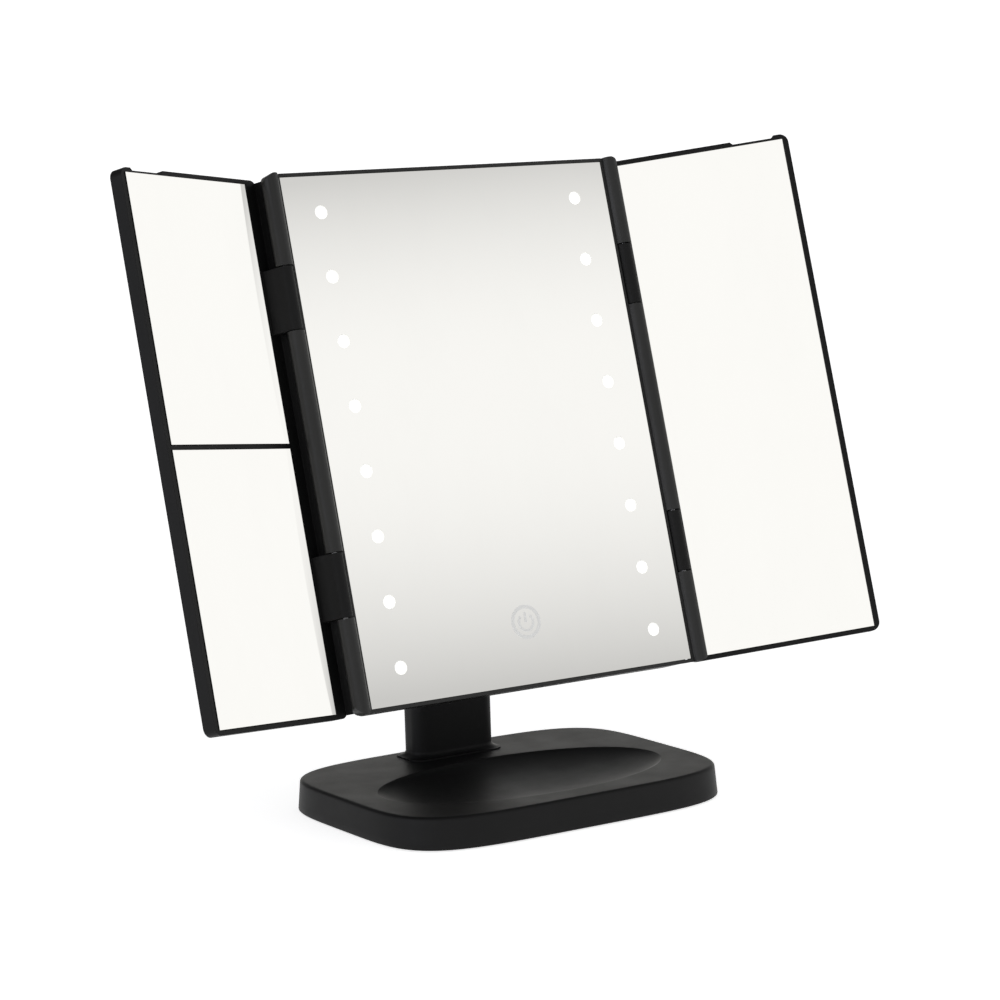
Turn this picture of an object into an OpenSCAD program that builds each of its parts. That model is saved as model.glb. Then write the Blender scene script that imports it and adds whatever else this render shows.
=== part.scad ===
// Trifold lighted vanity mirror on a tray base: a tilting centre panel with a
// touch light, and two mirror wings that fold over it on side hinges.
// Millimetres. The origin is on the table under the middle of the base;
// +Z is up, -Y faces the user and +X is the user's right.
// It is drawn as photographed: panel leaning back, wings part folded.

/* [Base] */
// Width of the base outline at its foot
base_w = 171; // [164:1:184]
// Depth of the base outline at its foot
base_d = 127; // [120:1:136]
// Height of the base shell
base_h = 14; // [13:0.5:18]
// Squareness of the base outline: 2 is an ellipse
base_square = 4.6; // [3.6:0.1:5.6]
// Inset of the top outline, the draft of the side walls
base_draft = 1; // [0.6:0.1:2]
// Radius of the top edge
base_edge_r = 1.5; // [1:0.1:2]
// Wall of the base shell
base_wall = 2.4; // [2:0.1:3]
// Length of the tray dish from side to side
dish_w = 139.8; // [128:0.2:146]
// Width of the tray dish from front to back
dish_d = 75; // [64:1:78]
// Depth of the tray dish
dish_depth = 5.5; // [4:0.5:7]
// Skin under the tray dish
dish_skin = 1.8; // [1.5:0.1:2]
// Middle of the dish, measured forward from the middle of the base
dish_forward = 11.6; // [8:0.2:13]
// Thickness of the bottom plate
plate_t = 2; // [1.6:0.1:2.4]
// Thickness of the anti-slip pad
pad_t = 1.2; // [1:0.1:1.6]
// Gap between the base shell and the table
shell_lift = 0.5; // [0.3:0.1:0.8]
// Thickness of the steel ballast
ballast_t = 1.8; // [1.2:0.1:2]

/* [Neck] */
// Width of the neck
neck_w = 42; // [38:1:46]
// Thickness of the neck
neck_d = 16; // [15:0.5:18]
// Corner radius of the neck
neck_r = 6.5; // [5:0.5:7]
// Distance from the back edge of the base to the middle of the neck
neck_inset = 14.8; // [14:0.2:22]
// Flare of the collar at the foot of the neck
collar_flare = 3; // [2:0.5:4]
// Height of the collar
collar_h = 3; // [2.4:0.2:4]
// Distance of the tilt axis in front of the middle of the neck
pivot_reach = 17.7; // [15:0.1:19]
// Height of the tilt axis above the table
pivot_up = 108; // [104:1:114]
// Radius of the barrel at the top of the neck
barrel_r = 10.5; // [10:0.5:11]
// Half length of that barrel
barrel_half = 13.5; // [12:0.5:15]
// Radius of the tilt axle
axle_r = 3; // [2.5:0.1:3.5]
// Thickness of each ear that holds the axle
ear_t = 6.7; // [6:0.1:8]
// Lean of the panel back from upright
tilt = 15.5; // [5:0.5:25]

/* [Centre panel] */
// Width of the centre mirror
glass_w = 167; // [160:1:175]
// Height of the centre mirror
glass_h = 230; // [222:1:238]
// Thickness of the centre mirror
glass_t = 3; // [2.5:0.1:3.4]
// Frame above and below the glass
border = 1.5; // [1.3:0.1:2.6]
// Height of the frame front above the glass
frame_proud = 0.4; // [0.2:0.1:1.2]
// Distance of each hinge axis from the edge of the glass
axis_out = 4.7; // [4.6:0.1:6]
// Corner radius of the panel
panel_r = 5; // [4:0.5:6]
// Radius of the round hinge rail on each side
rail_r = 3.8; // [3.6:0.1:4]
// Depth of the hinge axis behind the front of the glass
axis_back = 0.2; // [0:0.1:2.6]
// Depth of the whole panel behind the front of the glass
panel_d = 16.4; // [16:0.1:18]
// Joint line between front frame and rear cover
split_back = 9; // [8.6:0.1:9.4]
// Wall of the panel housings
wall = 1.8; // [1.5:0.1:2.2]
// Height of the tilt axis above the lower edge of the glass
pivot_rise = 64; // [60:1:68]
// Distance of the tilt axis behind the front of the glass
pivot_depth = 41; // [41:0.5:42]

/* [Lights] */
// Number of lights in each column
light_count = 8; // [6:1:10]
// Distance of each column from the edge of the glass
light_inset = 17.5; // [15:0.5:22]
// Pitch of the lights
light_pitch = 28.3; // [24:0.1:29]
// First light below the top of the glass
light_top = 16.2; // [14:0.1:18]
// Radius of a light window
light_r = 3.05; // [2.6:0.05:3.6]
// Height of the touch spot above the lower edge of the glass
touch_up = 27; // [24:1:34]
// Radius of the touch electrode
touch_r = 7; // [6:0.5:8]

/* [Wings] */
// Gap between the closed wings at the middle of the panel
meet_gap = 5.6; // [3:0.2:7]
// Border of a wing above and below its mirrors
wing_end = 2; // [1.9:0.1:3]
// Inner edge of the wing mirror, from the hinge axis
wing_glass_in = 5; // [4.8:0.1:6]
// Depth of the wing mirror plane behind the hinge axis
wing_back = 10.8; // [10.2:0.1:11.4]
// Height of the wing rim above its mirror
wing_proud = 0.8; // [0.6:0.1:1.2]
// Outer border of the wing frame
wing_edge = 2.4; // [2:0.1:2.8]
// Thickness of the back of the wings
wing_skin = 1; // [0.9:0.1:1.6]
// Corner radius of the wings
wing_r = 4; // [3:0.5:5]
// Height of the bar between the two mirrors of the left wing
divider_up = 115.5; // [108:0.5:124]
// Thickness of that bar
divider_t = 1.8; // [1.4:0.1:2.4]
// Thickness of the curved mirrors
lens_t = 1.2; // [1:0.1:1.6]
// Radius of curvature of the upper mirror, twice magnifying
upper_curve = 1000; // [900:10:1200]
// Radius of curvature of the lower mirror, three times magnifying and the deeper one
lower_curve = 820; // [780:10:900]
// Fold of the left wing from flat, as photographed
fold_left = 24.3; // [10:0.1:60]
// Fold of the right wing from flat, as photographed
fold_right = 28.7; // [10:0.1:60]

/* [Wing hinges] */
// Radius of the knuckles
knuckle_r = 3.4; // [3.2:0.1:3.5]
// Radius of the hinge pins
pin_r = 1.2; // [1:0.1:1.4]
// Lower end of the lower notch, above the glass edge
notch_low = 39.3; // [36:0.1:46]
// Lower end of the upper notch, above the glass edge
notch_high = 163; // [158:0.5:170]
// Length of each notch
notch_len = 28.4; // [24:0.2:32]
// Length of pin held in the rail at each end
pin_grip = 9; // [7:0.5:12]
// Width of the finger notch in a wing's top edge
finger_w = 20.5; // [16:0.5:24]
// Depth of the finger notch
finger_d = 1.2; // [0.8:0.1:1.4]

/* [Power] */
// Radius of a battery
cell_r = 5.25; // [5:0.05:5.4]
// Length of a battery
cell_len = 44.5; // [43:0.1:45]
// Width of the battery housing on the back
hump_w = 66; // [64:1:72]
// Lower end of the battery housing
hump_low = 36; // [34:1:40]
// Upper end of the battery housing
hump_high = 172; // [170:1:180]
// Depth of the battery housing behind the glass
hump_d = 29; // [28.6:0.1:29]
// Lower edge of the battery door
door_low = 98; // [96:1:100]
// Thickness of the battery door
door_t = 1.8; // [1.6:0.1:2]
// Width of the groove lips that hold the door
door_lip = 2.4; // [2:0.1:3]
// Distance of the switch and socket from the edge of the glass
power_inset = 31.5; // [28:0.5:33]
// Height of the power switch above the glass edge
switch_up = 122; // [116:1:126]
// Height of the power socket above the glass edge
socket_up = 96; // [92:1:102]
// Travel of the power switch
switch_travel = 3; // [2.5:0.1:3.5]

/* [Fits] */
// Radial clearance of pins and axles that turn
turn_clear = 0.05; // [0.03:0.01:0.08]
// Clearance between parts that are put together
fit = 0.2; // [0.15:0.05:0.3]
// Gap between parts that move past each other
gap = 0.4; // [0.3:0.05:0.5]

/* [Hidden] */
$fn = 64;

plastic_black = [0.09, 0.09, 0.095];
plastic_charcoal = [0.2, 0.2, 0.19];
mirror_silver = [0.86, 0.87, 0.87];
steel = [0.6, 0.6, 0.62];

// Heights in the base
shell_top = shell_lift + base_h;
plate_top = pad_t + plate_t;
outline_steps = 72;
dish_steps = 60;
dish_steep = 0.8;
dish_square = 2.05;
draft_at_edge = base_draft * base_edge_r / base_h;

// Sizes of the panel, in its own frame: x to the right, y back, z up the glass
tape_t = 0.4;
wing_heel = rail_r - 0.2;
lip_t = 1.2;
body_gap = 0.7;
axis_x = glass_w / 2 + axis_out;
panel_w = 2 * (axis_x + rail_r);
frame_h = glass_h + 2 * border;
body_half = axis_x - wing_heel - body_gap;
light_x = glass_w / 2 - light_inset;
power_x = glass_w / 2 - power_inset;
floor_front = glass_t + tape_t;
floor_t = 2;
floor_back = floor_front + floor_t;
notch_in = axis_x - knuckle_r - gap;
notches = [notch_low, notch_high];
window_half = 14;
window_low = 6;
light_heights = [for (i = [0 : light_count - 1]) glass_h - light_top - i * light_pitch];
board_front = floor_back + 1.8;
board_t = 1.6;
board_half_w = 4;
board_post_heights = [for (i = [0, light_count - 2])
    (light_heights[i] + light_heights[i + 1]) / 2];
led_h = 1.4;
screw_x = body_half - wall - 6;
screw_heights = [16, glass_h / 2, glass_h - 16];
screw_r = 1.4;
screw_head_r = 2.7;
screw_seat = split_back + 3.4;

// Base and neck joints
neck_back = base_d / 2 - neck_inset;
pivot_back = neck_back - pivot_reach;
screw_inset = 17;
base_screw_l = 8;
ballast_inset = 27;
screw_places = [for (x = [-1, 1], y = [-1, 1])
    [x * (base_w / 2 - screw_inset), y * (base_d / 2 - screw_inset)]];
neck_screw_places = [[-neck_w / 4, neck_back], [neck_w / 4, neck_back]];
foot_rim = 0.5;
tenon_w = neck_w - 8;
tenon_d = neck_d - 4;
bend_low = 60;
bend_steps = 12;

// Wing sizes, in the wing's frame: x out from the hinge axis, y back, z up
wing_front = wing_back - wing_proud;
wing_outer = axis_x - meet_gap / 2;
wing_glass_w = wing_outer - wing_edge - wing_glass_in;
wing_low = wing_end - border;
wing_mid = wing_glass_in + wing_glass_w / 2;
left_openings = [[wing_low, divider_up - divider_t / 2],
    [divider_up + divider_t / 2, glass_h - wing_low]];
right_openings = [[wing_low, glass_h - wing_low]];
wing_floor = wing_back + dip(left_openings[0], lower_curve) + lens_t + 0.1;
wing_rear = wing_floor + wing_skin;
ledge = 2;
lens_reach = norm([wing_glass_w, glass_h - divider_up]) / 2 + 2;
lens_rings = 13;
pad_r = 26;

// Tilt hinge
washer_t = 0.7;
ear_in = barrel_half + washer_t + 0.1;
ear_out = ear_in + ear_t;
bolt_recess = 3;
cap_r = 8;

// Battery bay, switch and socket
cell_pitch = 2 * cell_r + 0.5;
bay_w = 4 * cell_pitch;
bay_h = cell_len + 6;
bay_low = door_low + 8;
bay_wall = 1.4;
door_back = hump_d - 1.6;
cell_y = door_back - door_t - 0.6 - cell_r;
contact_t = 0.4;
coil_turns = 3;
coil_rings = 8;
coil_wire = 0.35;
coil_foot = 3.2;
coil_tip = 1.6;
coil_h = 3.9;
socket_w = 9;
socket_t = 3.2;
control_y = split_back + 0.6;
post_margin = 3;
control_x = [power_x - 19, power_x + 17];
control_z = [socket_up - 12, switch_up + 13];
board_posts_x = [control_x[0] + post_margin, control_x[1] - post_margin];
board_posts_z = [control_z[0] + post_margin, control_z[1] - post_margin];

// ---------- helpers ----------

// Points of a superellipse: |x/a|^p + |y/b|^p = 1
function oval(w, d, p, steps) = [for (i = [0 : steps - 1])
    let (a = 360 * i / steps, c = cos(a), s = sin(a))
    [w / 2 * sign(c) * pow(abs(c), 2 / p), d / 2 * sign(s) * pow(abs(s), 2 / p)]];

// A closed skin over rings; each ring is [z, width, depth, squareness], lowest first
module loft(rings, steps) {
    points = [for (r = rings) for (q = oval(r[1], r[2], r[3], steps)) [q[0], q[1], r[0]]];
    last = (len(rings) - 1) * steps;
    sides = [for (k = [0 : len(rings) - 2]) for (i = [0 : steps - 1])
        let (j = (i + 1) % steps, a = k * steps)
        for (face = [[a + i, a + steps + j, a + j], [a + i, a + steps + i, a + steps + j]]) face];
    lower = [for (i = [0 : steps - 1]) i];
    upper = [for (i = [0 : steps - 1]) last + steps - 1 - i];
    polyhedron(points, concat([lower, upper], sides), convexity = 4);
}

// Rounded rectangle with exact corner arcs
module round_rect(w, h, r) {
    square([w - 2 * r, h], center = true);
    square([w, h - 2 * r], center = true);
    for (x = [-1, 1], y = [-1, 1]) translate([x * (w / 2 - r), y * (h / 2 - r)]) circle(r);
}

// Upright plate drawn in x and z, from y0 back to y1
module plate_y(y0, y1) {
    translate([0, y1, 0]) rotate([90, 0, 0]) linear_extrude(y1 - y0) children();
}

// Cylinder along y
module rod_y(r, y0, y1) {
    translate([0, y1, 0]) rotate([90, 0, 0]) cylinder(r = r, h = y1 - y0);
}

// Cylinder along x
module rod_x(r, x0, x1) {
    translate([x0, 0, 0]) rotate([0, 90, 0]) cylinder(r = r, h = x1 - x0);
}

// Box between two corners
module block(low, high) {
    translate(low) cube(high - low);
}

// Foot of a rounded rectangle that flares out downwards in a quarter hollow over a rim
function hollow(start, h, flare) = concat([[start + flare, 0]], [for (i = [0 : 6])
    let (a = 90 * i / 6) [start + flare * (1 - sin(a)), foot_rim + (h - foot_rim) * (1 - cos(a))]]);
module flared_foot(w, d, r, h, flare) {
    for (x = [-1, 1], y = [-1, 1]) translate([x * (w / 2 - r), y * (d / 2 - r), 0])
        rotate_extrude() polygon(concat([[0, 0]], hollow(r, h, flare), [[0, h]]));
    translate([-(w / 2 - r), 0, 0]) rotate([90, 0, 90]) linear_extrude(w - 2 * r)
        foot_profile(d / 2, h, flare);
    translate([0, d / 2 - r, 0]) rotate([90, 0, 0]) linear_extrude(d - 2 * r)
        foot_profile(w / 2, h, flare);
}
module foot_profile(half, h, flare) {
    for (side = [0, 1]) mirror([side, 0])
        polygon(concat([[0, 0]], hollow(half, h, flare), [[0, h]]));
}

// Places the panel: its frame has the lower middle of the glass front as origin
module in_panel() {
    translate([0, pivot_back, pivot_up]) rotate([-tilt, 0, 0])
        translate([0, -pivot_depth, -pivot_rise]) children();
}

// Places a wing: side is 1 for right and -1 for left
module in_wing(side) {
    in_panel() mirror([side < 0 ? 1 : 0, 0, 0]) translate([axis_x, axis_back, 0])
        rotate([0, 0, side < 0 ? -fold_left : -fold_right]) children();
}

// Countersunk-free pan screw along +z, head below
module pan_screw(head_r, head_h, shank_r, length) {
    rotate_extrude()
        polygon([[0, 0], [head_r * 0.8, 0], [head_r, head_h * 0.4], [head_r, head_h],
            [shank_r, head_h], [shank_r, head_h + length - shank_r],
            [shank_r * 0.3, head_h + length], [0, head_h + length]]);
}

// ---------- base ----------

// Rings of the base outside: eased foot, drafted wall and round top edge
function base_rings() = concat(
    [ring(shell_lift, 0.5), ring(shell_lift + 0.6, 0)],
    [for (i = [0 : 4]) let (a = 90 * i / 4)
        ring(shell_top - base_edge_r * (1 - sin(a)),
            base_draft + base_edge_r * (1 - cos(a)) - draft_at_edge)]);
function ring(z, inset) = [z, base_w - 2 * inset, base_d - 2 * inset, base_square];

// Rings of the dish, grown outwards by skin; f runs from the floor to the rim
function dish_rings(skin, top) = concat(
    [for (f = [0.25, 0.45, 0.62, 0.76, 0.88, 0.96, 1])
        [shell_top - skin - dish_depth * pow(1 - pow(f, 2), dish_steep),
            dish_w * f + 2 * skin, dish_d * f + 2 * skin, dish_square]],
    [[top, dish_w + 2 * skin, dish_d + 2 * skin, dish_square]]);

module base_shell() {
    color(plastic_black) difference() {
        union() {
            difference() {
                loft(base_rings(), outline_steps);
                difference() {
                    translate([0, 0, shell_lift - 1])
                        linear_extrude(base_h + 1 - base_wall)
                            polygon(oval(base_w - 2 * (base_wall + base_draft),
                                base_d - 2 * (base_wall + base_draft), base_square,
                                outline_steps));
                    translate([0, -dish_forward, 0]) loft(dish_rings(dish_skin, shell_top), 48);
                }
            }
            for (p = screw_places) translate([p[0], p[1], plate_top])
                cylinder(r = 4, h = shell_top - base_wall / 2 - plate_top);
            translate([0, neck_back, (plate_top + shell_top) / 2 - base_wall / 4])
                cube([tenon_w + 5, tenon_d + 5, shell_top - plate_top - base_wall / 2],
                    center = true);
        }
        translate([0, -dish_forward, 0]) loft(dish_rings(0, shell_top + 1), dish_steps);
        for (p = screw_places) translate([p[0], p[1], plate_top - 1])
            cylinder(r = screw_r, h = 9);
        translate([0, neck_back, plate_top - 1]) linear_extrude(base_h + 2)
            square([tenon_w + 2 * fit, tenon_d + 2 * fit], center = true);
    }
}

module base_bottom_plate() {
    inset = base_wall + base_draft + fit;
    color(plastic_black) difference() {
        translate([0, 0, pad_t]) linear_extrude(plate_t)
            polygon(oval(base_w - 2 * inset, base_d - 2 * inset, base_square, outline_steps));
        for (p = concat(screw_places, neck_screw_places))
            translate([p[0], p[1], pad_t - 1]) {
                cylinder(r = screw_r + 0.2, h = plate_t + 2);
                cylinder(r = screw_head_r + 0.2, h = 2);
            }
    }
}

module base_ballast() {
    color(steel) difference() {
        translate([0, -dish_forward, plate_top]) linear_extrude(ballast_t)
            round_rect(base_w - 2 * ballast_inset, base_d - 2 * ballast_inset, 8);
        for (x = [-1, 1]) translate([x * (base_w / 2 - 40), -dish_forward, plate_top - 1])
            cylinder(r = 2.2, h = ballast_t + 2);
    }
}

module base_screws() {
    color(steel) for (p = screw_places)
        translate([p[0], p[1], pad_t]) pan_screw(screw_head_r, 1, screw_r, base_screw_l);
}

module anti_slip_pad() {
    color([0.12, 0.12, 0.12]) linear_extrude(pad_t)
        polygon(oval(base_w - 16, base_d - 16, base_square, outline_steps));
}

// ---------- neck ----------

// Cubic curve of the neck's middle line, in y and z
function bend(t) = let (u = 1 - t)
    u * u * u * [neck_back, bend_low] + 3 * u * u * t * [neck_back, bend_low + 30]
    + 3 * u * t * t * [pivot_back + 13, pivot_up - 7] + t * t * t * [pivot_back, pivot_up];
function bend_slope(t) = bend(t + 0.001) - bend(t - 0.001);
function bend_side(t, offset) = let (s = bend_slope(t))
    bend(t) + offset * [s[1], -s[0]] / norm(s);

module neck_profile() {
    half = neck_d / 2;
    polygon(concat(
        [[neck_back + half, shell_top], [neck_back + half, bend_low]],
        [for (i = [1 : bend_steps]) bend_side(i / bend_steps, half)],
        [for (i = [bend_steps : -1 : 1]) bend_side(i / bend_steps, -half)],
        [[neck_back - half, bend_low], [neck_back - half, shell_top]]));
}

// Extrudes a side view, drawn in y and z, by half its width to each side
module sideways(half) {
    translate([-half, 0, 0]) rotate([90, 0, 90]) linear_extrude(2 * half) children();
}

module neck_post() {
    color(plastic_black) difference() {
        union() {
            intersection() {
                sideways(neck_w / 2) difference() {
                    neck_profile();
                    translate([pivot_back, pivot_up]) circle(barrel_r + 2);
                }
                union() {
                    translate([0, neck_back, 0]) linear_extrude(bend_low + 5)
                        round_rect(neck_w, neck_d, neck_r);
                    translate([-neck_w / 2, 0, bend_low + 5]) cube([neck_w, 2 * neck_back, 60]);
                }
            }
            sideways(barrel_half) {
                intersection() {
                    neck_profile();
                    translate([0, bend_low + 10]) square([100, 100]);
                }
                translate([pivot_back, pivot_up]) circle(barrel_r);
            }
            translate([0, neck_back, shell_top])
                flared_foot(neck_w, neck_d, neck_r, collar_h, collar_flare);
            translate([0, neck_back, plate_top]) linear_extrude(shell_top - plate_top + 1)
                square([tenon_w, tenon_d], center = true);
        }
        translate([0, pivot_back, pivot_up])
            rod_x(axle_r + turn_clear, -barrel_half - 1, barrel_half + 1);
        for (p = neck_screw_places) translate([p[0], p[1], plate_top - 1])
            cylinder(r = screw_r, h = 13);
    }
}

module neck_screws() {
    color(steel) for (p = neck_screw_places)
        translate([p[0], p[1], pad_t]) pan_screw(screw_head_r, 1, screw_r, 12);
}

// ---------- tilt hinge ----------

module at_pivot() {
    in_panel() translate([0, pivot_depth, pivot_rise]) children();
}

module tilt_axle() {
    color(steel) at_pivot() {
        rod_x(axle_r, -ear_out + 0.6, ear_out - bolt_recess);
        rod_x(5.4, ear_out - bolt_recess, ear_out - 0.4);
    }
}

module axle_nut() {
    color(steel) at_pivot() difference() {
        translate([-ear_out + 0.4, 0, 0]) rotate([0, 90, 0]) cylinder(r = 5.4, h = 2, $fn = 6);
        rod_x(axle_r, -ear_out, -ear_out + 4);
    }
}

module spring_washer() {
    color(steel) at_pivot() difference() {
        rod_x(5, -ear_out + 2.4, -ear_out + bolt_recess);
        rod_x(axle_r + 0.1, -ear_out, -ear_out + 4);
        block([-ear_out, 0, -0.6], [-ear_out + 4, 6, 0.6]);
    }
}

module friction_washers() {
    color([0.75, 0.73, 0.68]) at_pivot() for (side = [-1, 1]) difference() {
        rod_x(8.5, side > 0 ? ear_in - washer_t : -ear_in, side > 0 ? ear_in : washer_t - ear_in);
        rod_x(axle_r + turn_clear, -ear_out, ear_out);
    }
}

module hinge_caps() {
    color(plastic_black) at_pivot() for (side = [0, 1]) mirror([side, 0, 0])
        translate([ear_out, 0, 0]) rotate([0, 90, 0]) rotate_extrude()
            polygon([[0, 0], [cap_r, 0], [cap_r, 0.5], [cap_r - 0.4, 1], [cap_r - 1.6, 1.4],
                [cap_r * 0.4, 1.7], [0, 1.8]]);
}

// ---------- centre panel ----------

module panel_outline(w) {
    translate([0, glass_h / 2]) round_rect(w, frame_h, panel_r);
}

// Sixteen light places, as children at each one
module at_lights(columns = [-1, 1]) {
    for (side = columns, h = light_heights) translate([side * light_x, 0, h]) children();
}

module centre_frame() {
    color(plastic_charcoal) in_panel() difference() {
        union() {
            plate_y(-frame_proud, split_back) panel_outline(2 * body_half);
            plate_y(-frame_proud, axis_back + rail_r - 1) panel_outline(2 * axis_x);
            intersection() {
                for (side = [-1, 1]) translate([side * axis_x, axis_back, -border])
                    cylinder(r = rail_r, h = frame_h);
                plate_y(-frame_proud - 4, split_back) panel_outline(panel_w);
            }
        }
        // pocket for the glass, open to the front
        block([-glass_w / 2, -frame_proud - 5, 0], [glass_w / 2, floor_front, glass_h]);
        // room behind the floor
        block([-body_half + wall, floor_back, -border + wall],
            [body_half - wall, split_back + 1, glass_h + border - wall]);
        at_lights() rod_y(light_r + 0.8, floor_front - 1, floor_back + 1);
        translate([0, 0, touch_up]) rod_y(touch_r + fit, floor_front - 1, floor_back + 1);
        for (side = [-1, 1], low = notches) {
            notch(side, low);
            translate([side * axis_x, axis_back, low - pin_grip])
                cylinder(r = pin_r + turn_clear, h = notch_len + 2 * pin_grip);
        }
        block([-window_half, floor_front - 1, pivot_rise - window_half],
            [window_half, floor_back + 1, pivot_rise + window_low]);
    }
    color(plastic_charcoal) in_panel() for (side = [-1, 1]) {
        for (h = screw_heights) translate([side * screw_x, 0, h]) difference() {
            rod_y(3.6, floor_back - 0.5, split_back);
            rod_y(screw_r, floor_back - 1, split_back + 1);
        }
        // shoulder posts that carry the light boards
        for (h = board_post_heights) translate([side * light_x, 0, h]) {
            rod_y(2.2, floor_back - 0.5, board_front);
            rod_y(1.05, floor_back, board_front + board_t + 0.5);
        }
    }
}

// Cuts the rail back to the lip beside the glass
module notch(side, low) {
    outer = panel_w / 2 + 2;
    block([side > 0 ? notch_in : -outer, -frame_proud - 5, low],
        [side > 0 ? outer : -notch_in, split_back + 1, low + notch_len]);
}

module centre_mirror() {
    color(mirror_silver) in_panel() difference() {
        block([-glass_w / 2 + fit, 0, fit], [glass_w / 2 - fit, glass_t, glass_h - fit]);
        at_lights() rod_y(light_r, -1, glass_t + 1);
    }
}

module light_windows() {
    color([1, 1, 0.97]) in_panel() at_lights() rod_y(light_r - 0.03, 0.02, floor_front);
}

module mirror_tape() {
    rim = 6;
    color([0.2, 0.2, 0.2]) in_panel() difference() {
        block([-glass_w / 2 + 1, glass_t, 1], [glass_w / 2 - 1, floor_front, glass_h - 1]);
        block([-glass_w / 2 + rim, glass_t - 1, rim],
            [glass_w / 2 - rim, floor_front + 1, glass_h - rim]);
    }
}

module led_board(side) {
    color([0.85, 0.85, 0.82]) in_panel() difference() {
        translate([side * light_x, 0, 0]) block([-board_half_w, board_front, 7],
            [board_half_w, board_front + board_t, glass_h - 7]);
        for (h = board_post_heights) translate([side * light_x, 0, h])
            rod_y(1.1, board_front - 1, board_front + board_t + 1);
    }
}

module led_board_left() led_board(-1);
module led_board_right() led_board(1);

module leds(side) {
    color([1, 0.95, 0.7]) in_panel() at_lights([side])
        block([-1.75, board_front - led_h, -1.4], [1.75, board_front, 1.4]);
}

module leds_left() leds(-1);
module leds_right() leds(1);

module touch_electrode() {
    color([0.72, 0.5, 0.3]) in_panel() translate([0, 0, touch_up]) {
        rod_y(touch_r, glass_t, floor_front + 0.4);
        rod_y(2, floor_front, split_back);
    }
}

// ---------- rear cover ----------

module rear_cover() {
    color(plastic_black) in_panel() difference() {
        union() {
            difference() {
                plate_y(split_back, panel_d) panel_outline(2 * body_half);
                block([-body_half + wall, split_back - 1, -border + wall],
                    [body_half - wall, panel_d - wall, glass_h + border - wall]);
            }
            for (side = [-1, 1], h = screw_heights) translate([side * screw_x, 0, h])
                rod_y(4.2, split_back, panel_d - 0.5);
            plate_y(panel_d - wall, hump_d) hump_outline(hump_w, 0, 4);
            ears();
            for (x = board_posts_x, h = board_posts_z) translate([x, 0, h])
                rod_y(2.4, control_y + board_t, panel_d - wall + 0.5);
        }
        // inside of the hump, then the door's opening with its grooves
        plate_y(panel_d - wall - 1, hump_d - 2) hump_outline(hump_w - 2 * wall, wall, 2.4);
        block([-hump_w / 2 + 1.3, door_back - door_t - fit, door_low],
            [hump_w / 2 - 1.3, door_back + fit, hump_high + 1]);
        block([-hump_w / 2 + 1.3 + door_lip, door_back - door_t - 2, door_low],
            [hump_w / 2 - 1.3 - door_lip, hump_d + 1, hump_high + 1]);
        for (side = [-1, 1], h = screw_heights) translate([side * screw_x, 0, h]) {
            rod_y(screw_r + 0.2, split_back - 1, panel_d + 1);
            rod_y(screw_head_r + 0.3, screw_seat, panel_d + 1);
        }
        translate([0, pivot_depth, pivot_rise]) {
            rod_x(axle_r + turn_clear, -ear_out - 1, ear_out + 1);
            for (side = [0, 1]) mirror([side, 0, 0])
                rod_x(6.2, ear_out - bolt_recess, ear_out + 1);
        }
        switch_slot();
        socket_mouth(fit);
    }
}

// Outline of the battery housing, drawn in x and z
module hump_outline(w, inset, r) {
    translate([0, (hump_low + hump_high) / 2])
        round_rect(w, hump_high - hump_low - 2 * inset, r);
}

// The two ears that hold the axle
module ears() {
    for (side = [0, 1]) mirror([side, 0, 0]) {
        translate([0, pivot_depth, pivot_rise]) rod_x(barrel_r, ear_in, ear_out);
        block([ear_in, hump_d - 1, pivot_rise - barrel_r],
            [ear_out, pivot_depth, pivot_rise + barrel_r]);
    }
}

module switch_slot() {
    block([power_x - 2.2, panel_d - wall - 1, switch_up - 2 - switch_travel / 2 - gap],
        [power_x + 2.2, panel_d + 1, switch_up + 2 + switch_travel / 2 + gap]);
}

module socket_mouth(grow) {
    translate([power_x, 0, socket_up]) plate_y(panel_d - wall - 1, panel_d + 1)
        round_rect(socket_w + 2 * grow, socket_t + 2 * grow, socket_t / 2 + grow - 0.01);
}

module rear_screws() {
    color(steel) in_panel() for (side = [-1, 1], h = screw_heights)
        translate([side * screw_x, screw_seat + 1.6, h]) rotate([90, 0, 0])
            pan_screw(screw_head_r, 1.6, screw_r, screw_seat - floor_back - 0.6);
}

module control_board() {
    color([0.1, 0.3, 0.16]) in_panel() {
        difference() {
            block([control_x[0], control_y, control_z[0]],
                [control_x[1], control_y + board_t, control_z[1]]);
            for (x = board_posts_x, h = board_posts_z) translate([x, 0, h])
                rod_y(1.2, control_y - 1, control_y + board_t + 1);
        }
        block([power_x - 11, control_y + board_t, socket_up + 10],
            [power_x - 5, control_y + board_t + 1.6, socket_up + 16]);
    }
}

module power_socket() {
    color(steel) in_panel() translate([power_x, 0, socket_up]) difference() {
        plate_y(control_y + board_t, panel_d - 0.3)
            round_rect(socket_w - 0.1, socket_t - 0.1, socket_t / 2 - 0.06);
        plate_y(panel_d - 4, panel_d + 1)
            round_rect(socket_w - 0.8, socket_t - 0.8, socket_t / 2 - 0.41);
    }
}

module switch_body() {
    color(steel) in_panel() difference() {
        block([power_x - 3.2, control_y + board_t, switch_up - 6],
            [power_x + 3.2, panel_d - wall - 0.3, switch_up + 6]);
        block([power_x - 1.6, control_y + board_t + 1, switch_up - 2 - switch_travel / 2 - gap],
            [power_x + 1.6, panel_d, switch_up + 2 + switch_travel / 2 + gap]);
    }
}

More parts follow.
